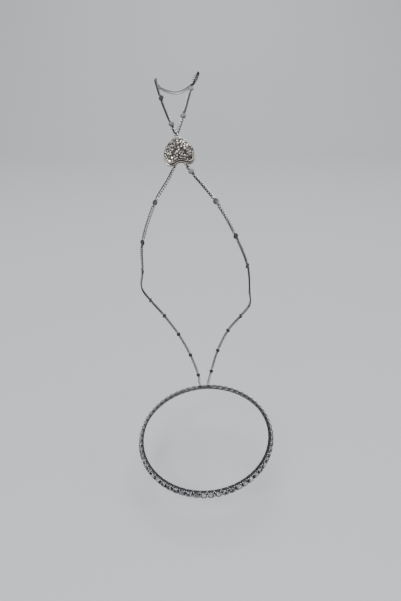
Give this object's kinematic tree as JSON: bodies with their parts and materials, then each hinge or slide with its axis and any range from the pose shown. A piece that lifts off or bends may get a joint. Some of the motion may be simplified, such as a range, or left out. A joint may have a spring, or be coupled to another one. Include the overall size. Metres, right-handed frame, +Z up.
{
  "type": "hand chain bracelet",
  "caption": "Hand chain bracelet: a puffed stone-set heart on fine flat chains that run round a finger and the wrist, and share a clasp with a wrist band of round stones in square settings.",
  "frame": {"origin": "point between the two webs of the middle finger, where the finger chain is held", "axes": "+Z up along the forearm towards the fingertips, +Y from the back of the hand to the palm, +X to the right as the back of the hand is seen"},
  "size_m": [0.0625, 0.0615, 0.1584],
  "materials": {
    "heart_metal": "polished",
    "chain_metal": "polished",
    "band_metal": "polished",
    "small_stone": "faceted",
    "clear_stone": "faceted"
  },
  "bodies": {
    "root": {"heart_body": "heart_metal", "heart_stones": "small_stone", "tip_ring": "chain_metal", "lobe_ring_left": "chain_metal", "lobe_ring_right": "chain_metal", "finger_chain": "chain_metal", "side_chain_left": "chain_metal", "side_chain_right": "chain_metal", "band_settings": "band_metal", "band_stones": "clear_stone", "band_clasp": "band_metal", "clasp_ring_left": "chain_metal", "clasp_ring_right": "chain_metal"}
  },
  "joints": []
}
